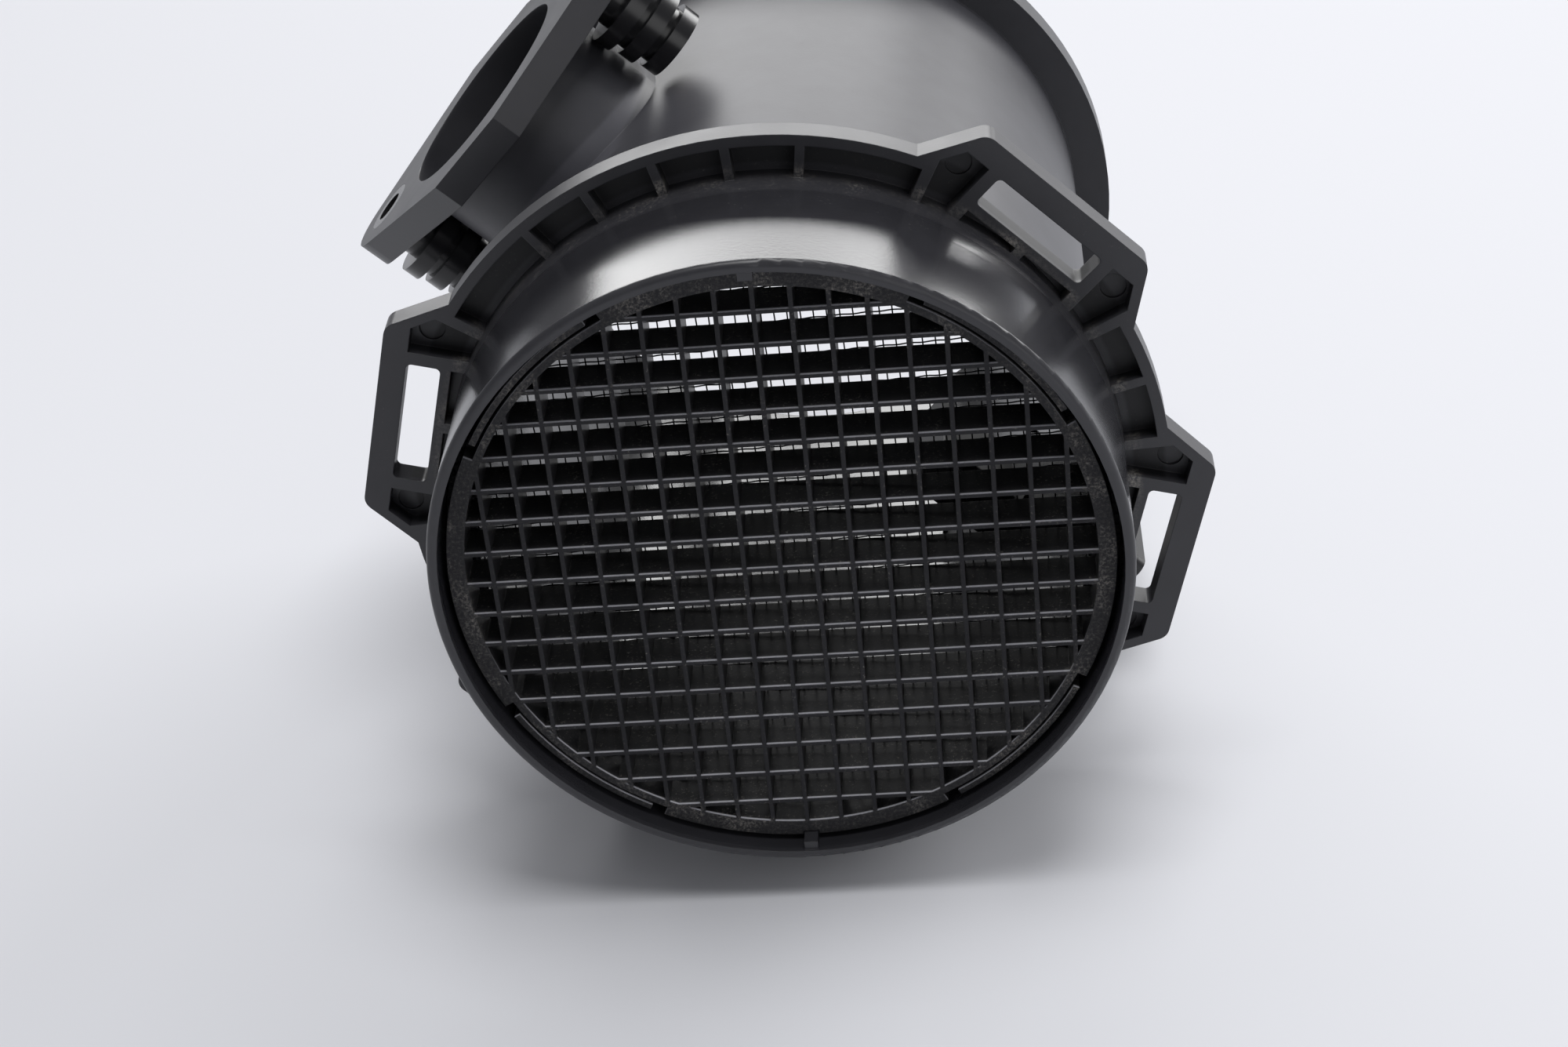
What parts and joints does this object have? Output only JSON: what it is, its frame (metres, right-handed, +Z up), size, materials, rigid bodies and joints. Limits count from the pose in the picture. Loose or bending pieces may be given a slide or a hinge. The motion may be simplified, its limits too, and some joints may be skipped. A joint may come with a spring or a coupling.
{
  "type": "mass airflow sensor",
  "caption": "Moulded plastic air duct with a square-cell inlet grille, a ribbed clip flange with slotted lugs, a side port with a bolted flange and a plug-in hot-film module.",
  "frame": {"origin": "on the duct's axis, at the inner end of the inlet collar's straight land, 7 mm in front of the clip flange", "axes": "+Y along the air flow from the inlet to the outlet, +Z up as the object lies in the picture, +X to the right seen from the inlet"},
  "size_m": [0.1286, 0.1204, 0.1216],
  "materials": {
    "housing_plastic": "dark grey glass-filled plastic, satin, slightly dusty",
    "grille_plastic": "dark grey glass-filled plastic, satin",
    "mesh_wire": "fine drawn steel wire",
    "insert_plastic": "glossy black plastic",
    "brass": "turned brass",
    "module_plastic": "black glass-filled plastic, satin",
    "seal_rubber": "black moulded rubber",
    "plated_steel": "plated steel",
    "chip_ceramic": "grey-blue thin-film chip",
    "bead_resin": "dark glossy resin",
    "heat_plate_aluminium": "plain aluminium sheet",
    "board_laminate": "green board laminate",
    "board_parts_plastic": "black chip packages",
    "terminal_metal": "tinned brass"
  },
  "bodies": {
    "root": {"housing": "housing_plastic", "inlet_grille": "grille_plastic", "mesh_screen": "mesh_wire", "mesh_ring": "grille_plastic", "port_inserts": "insert_plastic", "port_nuts": "brass", "module_body": "module_plastic", "module_seal": "seal_rubber", "module_screws": "plated_steel", "screw_bushes": "brass", "channel_cover": "module_plastic", "sensor_carrier": "plated_steel", "sensor_chip": "chip_ceramic", "air_temperature_bead": "bead_resin", "heat_plate": "heat_plate_aluminium", "circuit_board": "board_laminate", "board_parts": "board_parts_plastic", "tray_cover": "module_plastic", "connector_pins": "terminal_metal"}
  },
  "joints": []
}
